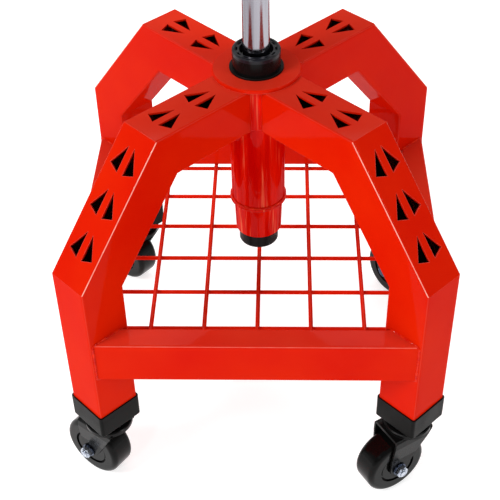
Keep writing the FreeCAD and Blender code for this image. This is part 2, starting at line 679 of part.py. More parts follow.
def seat_tee_nut():
    low = HUB_TOP + PAN_FLANGE_TOP
    top = low + BOARD_THICK
    return tube(5.0, BOLT_R + 0.1, low + 1, top - 1.5).fuse(tube(9.0, BOLT_R + 0.1, top - 1.5, top))


def at_corners(shape):
    return group([moved(shape, sx * BOLT_OFFSET, sy * BOLT_OFFSET) for sx in (1, -1) for sy in (1, -1)])


# ------------------------------------------------------------------ assembly
def feet():
    """Name, position and rest direction of each caster's swivel."""
    for name, angle in LEG_ANGLES.items():
        turn = math.radians(angle)
        yield name, SWIVEL_R * math.cos(turn), SWIVEL_R * math.sin(turn), SWIVEL_REST[name]


def at_feet(shape):
    return group([moved(shape, x, y) for _, x, y, _ in feet()])


parts = {
    "hub_cover_disc": hub_cover_disc(),
    "column_socket_sleeve": column_socket_sleeve(),
    "column_taper_tube": column_taper_tube(),
    "socket_weld_ring": socket_weld_ring(),
    "tray_long_wires": tray_wires(1, 0),
    "tray_cross_wires": tray_wires(2, 90),
    "caster_kingpins": at_feet(caster_kingpin()),
    "caster_kingpin_nuts": at_feet(caster_kingpin_nut()),
    "caster_top_races": at_feet(caster_top_race()),
    "caster_race_balls": at_feet(caster_race_balls()),
    "lift_outer_tube": lift_outer_tube(),
    "lift_guide_bush": lift_guide_bush(),
    "lift_trim_ring": lift_trim_ring(),
    "lift_thrust_washer_lower": lift_thrust_washer(-LIFT_DROP + LIFT_FLOOR),
    "lift_thrust_washer_upper": lift_thrust_washer(-LIFT_DROP + LIFT_FLOOR + 2.8),
    "lift_piston_rod": lift_piston_rod(),
    "lift_piston": lift_piston(),
    "lift_retaining_clip": lift_retaining_clip(),
    "lift_chrome_cylinder": lift_chrome_cylinder(),
    "lift_rod_gland": lift_rod_gland(),
    "lift_valve_button": lift_valve_button(),
    "seat_plate": seat_plate(),
    "seat_taper_socket": seat_taper_socket(),
    "lever_pivot_pin": lever_pivot_pin(),
    "height_lever": height_lever(),
    "lever_grip": lever_grip(),
    "seat_board": seat_board(),
    "seat_cushion": seat_cushion(),
    "seat_piping": seat_piping(),
    "seat_bolts": at_corners(seat_bolt()),
    "seat_tee_nuts": at_corners(seat_tee_nut()),
}
for name, angle in LEG_ANGLES.items():
    parts[f"leg_{name}"] = leg(angle)
for name, angle in {"front": 0, "right": 90, "rear": 180, "left": 270}.items():
    parts[f"rail_{name}"] = rail(angle)
caster_pieces = {"fork": caster_fork(), "axle_bolt": caster_axle_bolt(), "wheel_hub": caster_wheel_hub(),
                 "wheel_tyre": caster_wheel_tyre()}
for name, x, y, rest in feet():
    parts[f"caster_cup_{name}"] = caster_cup(x, y)
    for piece, shape in caster_pieces.items():
        parts[f"caster_{piece}_{name}"] = moved(spun(shape, rest), x, y)

os.makedirs("parts", exist_ok=True)
for name, shape in parts.items():
    solids = shape.Solids
    if not solids or not all(s.isValid() and s.Volume > 0 for s in solids):
        raise SystemExit(f"{name} is not made of valid solids")
    (solids[0] if len(solids) == 1 else Part.makeCompound(solids)).exportStep(f"parts/{name}.step")
print(len(parts), "sub-parts written")
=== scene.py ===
import json
import math
import random

import bmesh
import bpy
import numpy as np
from mathutils import Matrix, Vector
from mathutils.bvhtree import BVHTree


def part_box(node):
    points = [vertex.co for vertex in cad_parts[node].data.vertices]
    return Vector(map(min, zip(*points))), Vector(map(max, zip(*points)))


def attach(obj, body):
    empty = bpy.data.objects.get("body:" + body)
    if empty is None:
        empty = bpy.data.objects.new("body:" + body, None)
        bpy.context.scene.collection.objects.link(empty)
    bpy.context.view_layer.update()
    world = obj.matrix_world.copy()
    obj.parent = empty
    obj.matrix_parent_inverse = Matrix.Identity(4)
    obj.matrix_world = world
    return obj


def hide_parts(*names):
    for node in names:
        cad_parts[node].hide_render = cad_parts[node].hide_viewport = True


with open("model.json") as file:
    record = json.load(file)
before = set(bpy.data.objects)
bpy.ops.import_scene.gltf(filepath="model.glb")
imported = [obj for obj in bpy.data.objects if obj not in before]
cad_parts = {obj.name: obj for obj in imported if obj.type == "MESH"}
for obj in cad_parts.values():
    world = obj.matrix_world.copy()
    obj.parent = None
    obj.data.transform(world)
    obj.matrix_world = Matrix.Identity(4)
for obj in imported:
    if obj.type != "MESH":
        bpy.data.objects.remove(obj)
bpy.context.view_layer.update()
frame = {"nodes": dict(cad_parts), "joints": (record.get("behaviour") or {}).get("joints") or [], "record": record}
nodes = frame["nodes"]
scene = bpy.context.scene
SIDES = ("front", "right", "rear", "left")

# ------------------------------------------------------------------ places read from the frame
HUB_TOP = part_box("leg_front_left")[1].z
RAIL_LOW, RAIL_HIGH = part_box("rail_front")
RAIL_FACE = -RAIL_LOW.y
RAIL_THICK = RAIL_HIGH.y - RAIL_LOW.y
SEAT_LOW, SEAT_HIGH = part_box("seat_cushion")
BOARD_LOW, BOARD_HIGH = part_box("seat_board")

# ------------------------------------------------------------------ sizes, in metres
DIAGONAL = math.sqrt(0.5)      # the legs stand on the diagonals of the square base
LEG_WIDTH = 0.050
LEG_HEIGHT = 0.050
WIRE_PITCH = 0.0585
OUTER_WIRE = 3                 # the tray's wires are numbered from -3 to 3 each way
PIPE_R = 0.003                 # radius of the cord in the seat's welts
ARM_FILLET = 0.0085            # how far the corner welds reach along each arm
FILLET_ROW = 0.002
WASHER_FACE = 0.0199           # outer face of the axle washers, from the wheel's middle
WASHER_BLEND = 0.0004

# ------------------------------------------------------------------ materials
ENAMEL = (0.63, 0.009, 0.0010)
# painted shade for the enamel in corners between pieces
ENAMEL_SHADED = (0.38, 0.0012, 0.0006)
# painted highlight for the folds and sharp edges of the enamel
PAINTED_HIGHLIGHT = (1.0, 0.62, 0.50)
# painted reflection of the pale room on up-facing enamel
PAINTED_SHEEN = (1.0, 0.95, 0.60)
# painted shade for the insides of the tubes
TUBE_INSIDE_SHADE = (0.0010, 0.0008, 0.0008)
CORNER_SAMPLES = 4             # rays for the bevel and occlusion nodes that find edges and corners


class Shader:
    """A node material around one Principled shader."""

    def __init__(self, name, color, roughness, **sockets):
        self.material = bpy.data.materials.new(name)
        self.material.use_nodes = True
        self.material.diffuse_color = (*color, 1)
        self.tree = self.material.node_tree
        self.bsdf = self.tree.nodes["Principled BSDF"]
        self.set("Base Color", (*color, 1))
        self.set("Roughness", roughness)
        for socket, value in sockets.items():
            self.set(socket.replace("_", " "), value)
        coordinates = self.tree.nodes.new("ShaderNodeTexCoord")
        self.place = coordinates.outputs["Object"]
        self.height = None

    def set(self, socket, value):
        self.bsdf.inputs[socket].default_value = value

    def feed(self, socket, source):
        self.tree.links.new(source, self.bsdf.inputs[socket])

    def node(self, kind, inputs=None, **settings):
        made = self.tree.nodes.new("ShaderNode" + kind)
        for key, value in settings.items():
            setattr(made, key, value)
        for key, value in (inputs or {}).items():
            if isinstance(value, bpy.types.NodeSocket):
                self.tree.links.new(value, made.inputs[key])
            else:
                made.inputs[key].default_value = value
        return made

    def stretched(self, scale):
        """The object's coordinates, scaled on each axis."""
        return self.node("Mapping", {"Vector": self.place, "Scale": scale}).outputs[0]

    def noise(self, scale, detail=3.0, rough=0.5, distortion=0.0, vector=None):
        made = self.node("TexNoise", {"Vector": vector or self.place, "Scale": scale, "Detail": detail,
                                      "Roughness": rough, "Distortion": distortion})
        return made.outputs["Fac"]

    def cells(self, scale, feature="F1"):
        made = self.node("TexVoronoi", {"Vector": self.place, "Scale": scale}, feature=feature)
        return made.outputs["Distance"]

    def span(self, source, low, high, new_low=0.0, new_high=1.0):
        """source between low and high, mapped to new_low and new_high and kept between them."""
        return self.node("MapRange", {0: source, 1: low, 2: high, 3: new_low, 4: new_high}).outputs[0]

    def math(self, operation, a, b):
        return self.node("Math", {0: a, 1: b}, operation=operation).outputs[0]

    def mix(self, share, a, b):
        """Colour a at a share of 0, colour b at a share of 1."""
        made = self.node("Mix", data_type="RGBA")
        for socket, value in ((0, share), (6, a), (7, b)):
            if isinstance(value, bpy.types.NodeSocket):
                self.tree.links.new(value, made.inputs[socket])
            else:
                made.inputs[socket].default_value = value if socket == 0 else (*value[:3], 1)
        return made.outputs[2]

    def bump(self, source, distance, strength=1.0):
        """Adds a relief of that depth, in metres, on top of those before it."""
        inputs = {"Height": source, "Distance": distance, "Strength": strength}
        if self.height is not None:
            inputs["Normal"] = self.height
        self.height = self.node("Bump", inputs).outputs[0]
        self.feed("Normal", self.height)

    def edges(self, radius):
        """1 on convex edges and in corners within the radius, 0 on flat faces."""
        soft = self.node("Bevel", {"Radius": radius}, samples=CORNER_SAMPLES).outputs[0]
        true = self.node("NewGeometry").outputs["Normal"]
        same = self.node("VectorMath", {0: soft, 1: true}, operation="DOT_PRODUCT").outputs["Value"]
        return self.span(same, 0.995, 0.90)

    def crevices(self, distance):
        """1 deep in corners between pieces, 0 in the open."""
        seen = self.node("AmbientOcclusion", {"Distance": distance}, samples=CORNER_SAMPLES).outputs["AO"]
        return self.span(seen, 0.75, 0.2)


def red_enamel(name="red_enamel", fold_axis=None, slope_end=0.55, highlight_share=0.80):
    """Gloss enamel with a painted highlight on the folds of the tube, which lie between faces along and across
    fold_axis.

    The painted highlight is strongest where the fold slopes, and not where its normal's Z passes slope_end.
    highlight_share is its share there."""
    s = Shader(name, ENAMEL, 0.42, Coat_Weight=0.09, Coat_Roughness=0.05, Coat_IOR=1.45,
               Specular_IOR_Level=0.0)
    clouds = s.span(s.noise(9.0, 4.0), 0.3, 0.7)
    color = s.mix(clouds, (0.590, 0.0062, 0.0004), (0.645, 0.0145, 0.0010))
    # painted shade: the enamel is darkened deep in corners between pieces, found by occlusion
    color = s.mix(s.math("MULTIPLY", s.crevices(0.010), 0.22), color, ENAMEL_SHADED)
    normal = s.node("NewGeometry").outputs["Normal"]
    level = s.node("SeparateXYZ", {0: normal}).outputs["Z"]
    on_slope = s.math("MULTIPLY", s.span(level, 0.36, 0.44), s.span(level, 0.80, 0.72))
    # painted highlight on sharp edges: only on the slopes when there is a fold axis, on every sharp edge when
    # there is none
    highlight_mask = s.math("MULTIPLY", s.edges(0.0007), s.math("MULTIPLY", on_slope, 0.2) if fold_axis else 0.2)
    if fold_axis:
        across = s.node("VectorMath", {0: normal, 1: fold_axis}, operation="DOT_PRODUCT").outputs["Value"]
        square = s.math("MULTIPLY", across, across)
        fold = s.math("MULTIPLY", square, s.math("SUBTRACT", 1.0, square))
        sloping = s.math("MULTIPLY", s.span(level, 0.16, 0.34), s.span(level, slope_end, slope_end - 0.1))
        share = s.math("ADD", s.math("MULTIPLY", sloping, highlight_share), 0.04)
        # painted highlight along the folds, strong where they slope and faint elsewhere
        bright = s.math("MULTIPLY", s.span(fold, 0.19, 0.245), share)
        highlight_mask = s.math("MAXIMUM", highlight_mask, bright)
    patchy = s.span(s.noise(70.0, 3.0), 0.30, 0.62, 0.55, 1.0)
    # the painted highlights are mixed into the colour as a pale tone, in patches
    color = s.mix(s.math("MULTIPLY", highlight_mask, patchy), color, PAINTED_HIGHLIGHT)
    # painted reflection: up-facing faces get a faint pale sheen mixed into their colour, in patches
    top_sheen = s.math("MULTIPLY", s.span(level, 0.90, 0.99), s.span(s.noise(14.0, 3.0), 0.25, 0.75, 0.5, 1.0))
    color = s.mix(s.math("MULTIPLY", top_sheen, 0.024), color, PAINTED_SHEEN)
    # painted shade: where occlusion is high, inside the tubes behind the windows, the colour goes near black
    inside = s.node("AmbientOcclusion", {"Distance": 0.07}, samples=8).outputs["AO"]
    color = s.mix(s.span(inside, 0.36, 0.22), color, TUBE_INSIDE_SHADE)
    s.feed("Base Color", color)
    s.bump(s.noise(420.0, 2.0), 0.00006, 0.3)
    return s.material


def red_column():
    """Enamel on the turned tubes of the column, with paint runs in its relief, and painted reflection streaks and
    painted highlight lines along them.
    """
    s = Shader("red_column", ENAMEL, 0.35, Coat_Weight=0.16, Coat_Roughness=0.03, Coat_IOR=1.45,
               Specular_IOR_Level=0.0)
    along = s.stretched((1.0, 1.0, 0.07))
    runs = s.noise(95.0, 3.0, 0.55, 0.4, vector=along)
    lines = s.noise(260.0, 2.0, 0.5, 0.2, vector=s.stretched((1.0, 1.0, 0.03)))
    # painted reflection: the runs also set darker and brighter streaks in the colour along the tube
    color = s.mix(s.span(runs, 0.34, 0.66), (0.53, 0.0008, 0.0003), (0.78, 0.0085, 0.0008))
    # painted highlight: thin pale glint lines along the tube
    glints = s.math("MULTIPLY", s.span(lines, 0.56, 0.66), s.span(runs, 0.46, 0.60))
    s.feed("Base Color", s.mix(s.math("MULTIPLY", glints, 0.55), color, (1.0, 0.26, 0.12)))
    s.bump(runs, 0.0008, 0.5)
    return s.material


def red_weld():
    """The same enamel, run thick and glossy over the weld beads."""
    s = Shader("red_weld", ENAMEL, 0.38, Coat_Weight=0.22, Coat_Roughness=0.04, Coat_IOR=1.5,
               Specular_IOR_Level=0.03)
    runs = s.noise(240.0, 3.0)
    s.feed("Base Color", s.mix(s.span(runs, 0.4, 0.6), (0.56, 0.004, 0.0005), (0.70, 0.020, 0.0020)))
    s.bump(s.noise(380.0, 2.0), 0.0003, 0.5)
    return s.material


def chrome():
    """Hard chrome: fine rings from grinding, over soft painted reflection streaks that run along the tube."""
    s = Shader("chrome", (0.36, 0.36, 0.39), 0.16, Metallic=1.0)
    ground = s.noise(60.0, 4.0, 0.6, vector=s.stretched((1.0, 1.0, 90.0)))
    reflection_streaks = s.noise(62.0, 3.0, 0.55, vector=s.stretched((1.0, 1.0, 0.02)))
    # painted reflection: darker and lighter streaks along the tube in the metal's colour
    tone = s.mix(s.span(reflection_streaks, 0.38, 0.60), (0.17, 0.155, 0.18), (0.38, 0.37, 0.41))
    s.feed("Roughness", s.span(ground, 0.3, 0.7, 0.10, 0.22))
    worn = s.math("MULTIPLY", s.span(ground, 0.35, 0.65), 0.25)
    s.feed("Base Color", s.mix(worn, tone, (0.44, 0.43, 0.46)))
    s.bump(ground, 0.00001, 0.5)
    return s.material


def black_plastic():
    """Moulded plastic with a fine texture, rubbed paler on its edges."""
    s = Shader("black_plastic", (0.0035, 0.0035, 0.0032), 0.34, Specular_IOR_Level=0.07)
    s.feed("Roughness", s.span(s.noise(35.0, 5.0), 0.3, 0.7, 0.34, 0.48))
    rubbed = s.edges(0.0012)
    s.feed("Base Color", s.mix(rubbed, (0.0024, 0.0024, 0.0022), (0.0078, 0.0078, 0.0074)))
    s.bump(s.cells(2600.0), 0.00004, 0.5)
    return s.material


def bush_plastic():
    """Blue-black moulded nylon with a satin face."""
    s = Shader("bush_plastic", (0.006, 0.0065, 0.0095), 0.30, Specular_IOR_Level=0.26)
    flow = s.span(s.noise(150.0, 4.0), 0.35, 0.65)
    s.feed("Base Color", s.mix(flow, (0.004, 0.0045, 0.007), (0.011, 0.012, 0.018)))
    s.bump(s.noise(900.0, 2.0), 0.00005, 0.5)
    return s.material


def black_paint():
    """Gloss black paint on folded steel, worn on its edges."""
    s = Shader("black_paint", (0.002, 0.002, 0.0018), 0.20, Specular_IOR_Level=0.10)
    s.feed("Base Color", s.mix(s.edges(0.0010), (0.004, 0.004, 0.004), (0.016, 0.016, 0.016)))
    s.feed("Roughness", s.span(s.noise(28.0, 5.0), 0.3, 0.7, 0.20, 0.34))
    s.bump(s.noise(900.0, 2.0), 0.00005, 0.4)
    return s.material


def wheel_black():
    """Shiny black tyres and hubs with a little floor dust."""
    s = Shader("wheel_black", (0.002, 0.002, 0.0019), 0.14, Specular_IOR_Level=0.12)
    dust = s.span(s.noise(55.0, 6.0, 0.65), 0.45, 0.75)
    dust = s.math("MULTIPLY", dust, 0.4)
    s.feed("Base Color", s.mix(dust, (0.0020, 0.0020, 0.0020), (0.0085, 0.0083, 0.0078)))
    s.feed("Roughness", s.span(s.noise(80.0, 4.0), 0.3, 0.7, 0.05, 0.14))
    s.bump(s.noise(700.0, 3.0), 0.00006, 0.35)
    return s.material


def zinc():
    """Bright zinc plate with a fine spangle."""
    s = Shader("zinc", (0.50, 0.54, 0.62), 0.24, Metallic=1.0)
    spangle = s.noise(380.0, 4.0, 0.6)
    s.feed("Base Color", s.mix(s.span(spangle, 0.35, 0.65), (0.32, 0.36, 0.46), (0.68, 0.71, 0.76)))
    s.feed("Roughness", s.span(s.noise(900.0, 3.0), 0.3, 0.7, 0.20, 0.40))
    s.bump(spangle, 0.00004, 0.6)
    return s.material


def axle_bolt_zinc(corner):
    """Bright zinc over a blue-black washer, told apart by the distance from the wheel's middle."""
    wheel = next(joint for joint in frame["joints"] if joint["name"] == "wheel_spin_" + corner)
    s = Shader("axle_bolt_zinc_" + corner, (0.50, 0.53, 0.60), 0.20, Metallic=1.0)
    offset = s.node("VectorMath", {0: s.place, 1: wheel["pos_m"]}, operation="SUBTRACT").outputs[0]
    away = s.node("VectorMath", {0: offset, 1: wheel["axis"]}, operation="DOT_PRODUCT").outputs["Value"]
    spangle = s.noise(520.0, 4.0, 0.6)
    bright = s.mix(s.span(spangle, 0.35, 0.65), (0.24, 0.28, 0.38), (0.72, 0.76, 0.82))
    past_washer = s.span(away, WASHER_FACE, WASHER_FACE + WASHER_BLEND)
    s.feed("Base Color", s.mix(past_washer, (0.045, 0.060, 0.100), bright))
    s.bump(spangle, 0.00008, 0.8)
    return s.material


def steel():
    """Drawn steel, brushed along its length."""
    s = Shader("steel", (0.55, 0.55, 0.56), 0.26, Metallic=1.0)
    drawn = s.noise(120.0, 4.0, 0.6, vector=s.stretched((0.2, 6.0, 6.0)))
    s.feed("Base Color", s.mix(s.span(drawn, 0.3, 0.7), (0.48, 0.48, 0.49), (0.62, 0.62, 0.62)))
    s.feed("Roughness", s.span(drawn, 0.3, 0.7, 0.20, 0.36))
    s.bump(drawn, 0.00002, 0.5)
    return s.material


def seal_rubber():
    s = Shader("seal_rubber", (0.012, 0.012, 0.012), 0.62)
    s.feed("Roughness", s.span(s.noise(200.0, 4.0), 0.3, 0.7, 0.55, 0.72))
    s.bump(s.noise(1500.0, 2.0), 0.00004, 0.4)
    return s.material


def plywood():
    """Grain on the faces and plies on the edge of the board."""
    s = Shader("plywood", (0.36, 0.22, 0.11), 0.62)
    grain = s.noise(14.0, 6.0, 0.62, 1.2, vector=s.stretched((1.0, 14.0, 1.0)))
    face = s.mix(s.span(grain, 0.3, 0.7), (0.27, 0.15, 0.07), (0.50, 0.33, 0.18))
    height = s.node("SeparateXYZ", {0: s.place}).outputs["Z"]
    plies = s.node("Math", {0: s.math("MULTIPLY", height, 2 * math.pi / 0.0032)}, operation="SINE").outputs[0]
    edge = s.mix(s.span(plies, -0.4, 0.4), (0.16, 0.085, 0.04), (0.46, 0.30, 0.16))
    upright = s.node("SeparateXYZ", {0: s.node("NewGeometry").outputs["Normal"]}).outputs["Z"]
    flat = s.span(s.node("Math", {0: upright}, operation="ABSOLUTE").outputs[0], 0.5, 0.8)
    s.feed("Base Color", s.mix(flat, edge, face))
    s.bump(grain, 0.0002, 0.5)
    return s.material


def black_vinyl():
    """Grained seat vinyl."""
    s = Shader("black_vinyl", (0.010, 0.010, 0.011), 0.42, Sheen_Weight=0.03, Sheen_Roughness=0.4,
               Specular_IOR_Level=0.28)
    grain = s.cells(520.0, "DISTANCE_TO_EDGE")
    fine = s.noise(1400.0, 3.0)
    s.feed("Base Color", s.mix(s.span(grain, 0.0, 0.25), (0.006, 0.006, 0.0065), (0.013, 0.013, 0.014)))
    s.feed("Roughness", s.span(s.noise(24.0, 5.0), 0.3, 0.7, 0.38, 0.54))
    s.bump(s.span(grain, 0.0, 0.22), 0.00018, 0.7)
    s.bump(fine, 0.00004, 0.5)
    return s.material


def thread():
    s = Shader("thread", (0.030, 0.030, 0.032), 0.7)
    twist = s.node("TexWave", {"Vector": s.place, "Scale": 700.0, "Distortion": 1.5}).outputs["Fac"]
    s.feed("Base Color", s.mix(twist, (0.016, 0.016, 0.017), (0.045, 0.045, 0.048)))
    s.bump(twist, 0.0001, 0.6)
    return s.material


MAKERS = (red_enamel, red_column, red_weld, chrome, black_plastic, bush_plastic, black_paint, wheel_black,
          zinc, steel, seal_rubber, plywood, black_vinyl, thread)
MATERIALS = {make.__name__: make() for make in MAKERS}
# the rail's folds get a weaker painted highlight than the legs' slopes
FOLDED = {"rail": red_enamel("red_enamel_rail", (0, 0, 1), slope_end=0.95, highlight_share=0.16)}
for name, sideways in (("front_left", -1), ("rear_right", -1), ("front_right", 1), ("rear_left", 1)):
    FOLDED[name] = red_enamel("red_enamel_" + name, (DIAGONAL, sideways * DIAGONAL, 0))
for part in frame["record"]["subparts"]:
    node = part["node"]
    finish = MATERIALS[part["material_slot"]]
    if node.startswith("leg_"):
        finish = FOLDED[node.removeprefix("leg_")]
    elif node.startswith("rail_"):
        finish = FOLDED["rail"]
    elif node in ("column_socket_sleeve", "column_taper_tube", "socket_weld_ring"):
        finish = MATERIALS["red_column"]
    elif node == "lift_guide_bush":
        finish = MATERIALS["bush_plastic"]
    elif node.startswith("caster_axle_bolt_"):
        finish = axle_bolt_zinc(node.removeprefix("caster_axle_bolt_"))
    for slot in nodes[node].material_slots:
        slot.material = finish


# ------------------------------------------------------------------ mesh tools
def add_object(name, mesh, material, body):
    """A smooth-shaded piece that rides on a body, under one of the record's material slots."""
    made = bpy.data.objects.new(name, mesh)
    scene.collection.objects.link(made)
    mesh.materials.append(MATERIALS[material])
    for face in mesh.polygons:
        face.use_smooth = True
    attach(made, body)
    return made


def mesh_of(name, verts, faces):
    mesh = bpy.data.meshes.new(name)
    mesh.from_pydata([tuple(v) for v in verts], [], faces)
    mesh.update()
    return mesh


def swept(path, radii, sides=8, closed=True):
    """Vertices and faces of a tube along the path, its radius given point by point."""
    path = np.array(path, float)
    count = len(path)
    if closed:
        heading = np.roll(path, -1, 0) - np.roll(path, 1, 0)
    else:
        heading = np.gradient(path, axis=0)
    heading /= np.linalg.norm(heading, axis=1)[:, None]
    guide = np.array((0.31, 0.22, 0.93)) if abs(heading[0][2]) < 0.8 else np.array((0.93, 0.22, 0.31))
    verts, faces = [], []
    for k in range(count):
        guide = guide - heading[k] * guide.dot(heading[k])
        guide /= np.linalg.norm(guide)
        side = np.cross(heading[k], guide)
        for j in range(sides):
            turn = 2 * math.pi * j / sides
            verts.append(path[k] + radii[k] * (math.cos(turn) * guide + math.sin(turn) * side))
    for k in range(count if closed else count - 1):
        after = (k + 1) % count
        for j in range(sides):
            beside = (j + 1) % sides
            faces.append((k * sides + j, k * sides + beside, after * sides + beside, after * sides + j))
    if not closed:
        faces.append(tuple(range(sides))[::-1])
        faces.append(tuple(range((count - 1) * sides, count * sides)))
    return verts, faces


def resampled(corners, step, closed=True):
    """Points at even steps along a polyline."""
    points = [np.array(c, float) for c in corners]
    if closed:
        points.append(points[0])
    lengths = [0.0]
    for p, q in zip(points, points[1:]):
        lengths.append(lengths[-1] + float(np.linalg.norm(q - p)))
    count = max(4, int(lengths[-1] / step))
    at = np.linspace(0, lengths[-1], count, endpoint=not closed)
    stack = np.array(points)
    return np.stack([np.interp(at, lengths, stack[:, axis]) for axis in range(3)], 1)


def joined(name, shapes):
    """One mesh from several lists of vertices and faces."""
    verts, faces = [], []
    for more_verts, more_faces in shapes:
        start = len(verts)
        verts += list(more_verts)
        faces += [tuple(start + i for i in face) for face in more_faces]
    return mesh_of(name, verts, faces)


# ------------------------------------------------------------------ welds
BEAD_STEP = 0.0006
RIPPLE = 0.0026                # length of one ripple along a weld bead


def bead(corners, radius, dice, closed=True):
    """A rippled weld bead along the corners, fuller in some places than in others."""
    path = resampled(corners, BEAD_STEP, closed)
    stretch = RIPPLE / BEAD_STEP
    radii, swell = [], 1.0
    for k in range(len(path)):
        if k % int(stretch) == 0:
            swell = dice.uniform(0.82, 1.16)
        along = (k % stretch) / stretch
        radii.append(radius * swell * (0.80 + 0.26 * math.sqrt(max(0.0, math.sin(math.pi * along)))))
    jitter = np.array([[dice.gauss(0, 0.00008) for _ in range(3)] for _ in path])
    return swept(path + jitter, radii, closed=closed)


def rail_welds():
    """A bead all round each end of each rail, on the side of the leg."""
    dice = random.Random(11)
    leg_plane = LEG_WIDTH / 2 / DIAGONAL
    back, face = RAIL_FACE - RAIL_THICK, RAIL_FACE
    low, high = RAIL_LOW.z, RAIL_HIGH.z
    bevel = 0.0022
    outline = ((back, low + bevel), (back, high - bevel), (back + bevel, high), (face - bevel, high),
               (face, high - bevel), (face, low + bevel), (face - bevel, low), (back + bevel, low))
    for number, side in enumerate(SIDES):
        turn = Matrix.Rotation(math.radians(90 * number), 3, "Z")
        shapes = []
        for end in (-1, 1):
            corners = [turn @ Vector((end * (out - leg_plane), -out, z)) for out, z in outline]
            shapes.append(bead(corners, 0.0013, dice))
        name = f"rail_welds_{side}"
        add_object(name, joined(name, shapes), "red_weld", "base")


def ring_points(radius, height, count=96):
    return [(radius * math.cos(2 * math.pi * k / count), radius * math.sin(2 * math.pi * k / count), height)
            for k in range(count)]


def column_welds():
    """Beads where the collar ring is welded to the sleeve above it and to the slimmer tube below it."""
    dice = random.Random(5)
    ring_low, ring_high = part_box("socket_weld_ring")
    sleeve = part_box("column_socket_sleeve")[1].x
    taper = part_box("column_taper_tube")[1].x
    shapes = [bead(ring_points(sleeve + 0.0004, ring_high.z), 0.0014, dice),
              bead(ring_points(taper + 0.0016, ring_low.z + 0.0002), 0.0013, dice)]
    add_object("column_welds", joined("column_welds", shapes), "red_weld", "base")


def fillet(angle, corner, low, top, dice, steps=10):
    """A hollow-faced weld down the upright corner of two arms; angle points out of that corner."""
    verts, faces = [], []
    rows = max(2, round((top - low) / FILLET_ROW))
    cosine, sine = math.cos(angle), math.sin(angle)
    reach = ARM_FILLET
    for row in range(rows + 1):
        reach = 0.8 * reach + 0.2 * (ARM_FILLET + dice.uniform(-0.0006, 0.0006))
        z = low + (top - low) * row / rows
        section = []
        for step in range(steps + 1):
            swing = math.pi * (1.25 - 0.5 * step / steps)
            section.append((corner + reach / DIAGONAL + reach * math.cos(swing), reach * math.sin(swing)))
        section.append((corner - 0.001, 0.0))
        for out, side in section:
            verts.append((out * cosine - side * sine, out * sine + side * cosine, z))
    ring = steps + 2
    for row in range(rows):
        for k in range(ring):
            low_left, low_right = row * ring + k, row * ring + (k + 1) % ring
            faces.append((low_left, low_right, low_right + ring, low_left + ring))
    faces.append(tuple(range(ring))[::-1])
    faces.append(tuple(range(rows * ring, (rows + 1) * ring)))
    return verts, faces


def arm_welds():
    """Beads under the arms, round the sleeve and down the corners between one arm and the next."""
    dice = random.Random(23)
    leg_low = HUB_TOP - LEG_HEIGHT
    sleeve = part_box("column_socket_sleeve")[1].x
    shapes = [bead(ring_points(sleeve + 0.0003, leg_low), 0.0016, dice)]
    corner = LEG_WIDTH / 2 / DIAGONAL
    for turn in range(4):
        shapes.append(fillet(turn * math.pi / 2, corner, leg_low + 0.0015, HUB_TOP - 0.0015, dice))
    add_object("arm_welds", joined("arm_welds", shapes), "red_column", "base")


def blob(centre, size, dice):
    """A small uneven drop of weld metal."""
    bm = bmesh.new()
    bmesh.ops.create_icosphere(bm, subdivisions=2, radius=1.0)
    verts = [Vector(centre) + Vector(v.co[i] * size[i] for i in range(3)) * dice.uniform(0.9, 1.1)
             for v in bm.verts]
    faces = [tuple(v.index for v in f.verts) for f in bm.faces]
    bm.free()
    return verts, faces


def tray_welds():
    """Resistance-weld spots where the wires of the tray cross, and where they meet the rails."""
    dice = random.Random(37)
    wire_low, wire_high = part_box("tray_long_wires")
    radius = (wire_high.z - wire_low.z) / 2
    spots = []
    for i in range(-OUTER_WIRE, OUTER_WIRE + 1):
        for j in range(-OUTER_WIRE, OUTER_WIRE + 1):
            if abs(i) == abs(j) == OUTER_WIRE:
                continue
            size = (radius * dice.uniform(0.95, 1.2), radius * dice.uniform(0.95, 1.2), radius * 0.42)
            spots.append(blob((i * WIRE_PITCH, j * WIRE_PITCH, wire_low.z), size, dice))
    for k in range(1 - OUTER_WIRE, OUTER_WIRE):
        for end in (-1, 1):
            along = end * (RAIL_FACE - RAIL_THICK * 0.62)
            across = k * WIRE_PITCH
            for place, height in (((across, along), wire_high.z), ((along, across), wire_low.z)):
                spots.append(blob((*place, height), (radius * 1.3, radius * 1.3, radius * 0.5), dice))
    add_object("tray_weld_spots", joined("tray_weld_spots", spots), "red_weld", "base")


# ------------------------------------------------------------------ seat
def lathe(profile, count=120):
    """A closed shape turned about Z from (radius, height) points that start and end on the axis."""
    verts = [(0, 0, profile[0][1])]
    rings = profile[1:-1]
    for radius, height in rings:
        verts += ring_points(radius, height, count)
    verts.append((0, 0, profile[-1][1]))
    faces = [(0, 1 + (k + 1) % count, 1 + k) for k in range(count)]
    for r in range(len(rings) - 1):
        a, b = 1 + r * count, 1 + (r + 1) * count
        faces += [(a + k, a + (k + 1) % count, b + (k + 1) % count, b + k) for k in range(count)]
    last = 1 + (len(rings) - 1) * count
    faces += [(last + k, last + (k + 1) % count, len(verts) - 1) for k in range(count)]
    return verts, faces


CLOTH_VOXEL = 0.0052
CLOTH_FRAMES = 20
CLOTH_REACH = 0.009            # the farthest that the cloth pass may move the cover
SEAM_HOLD = 0.0042             # the cover is held within this distance of a welt


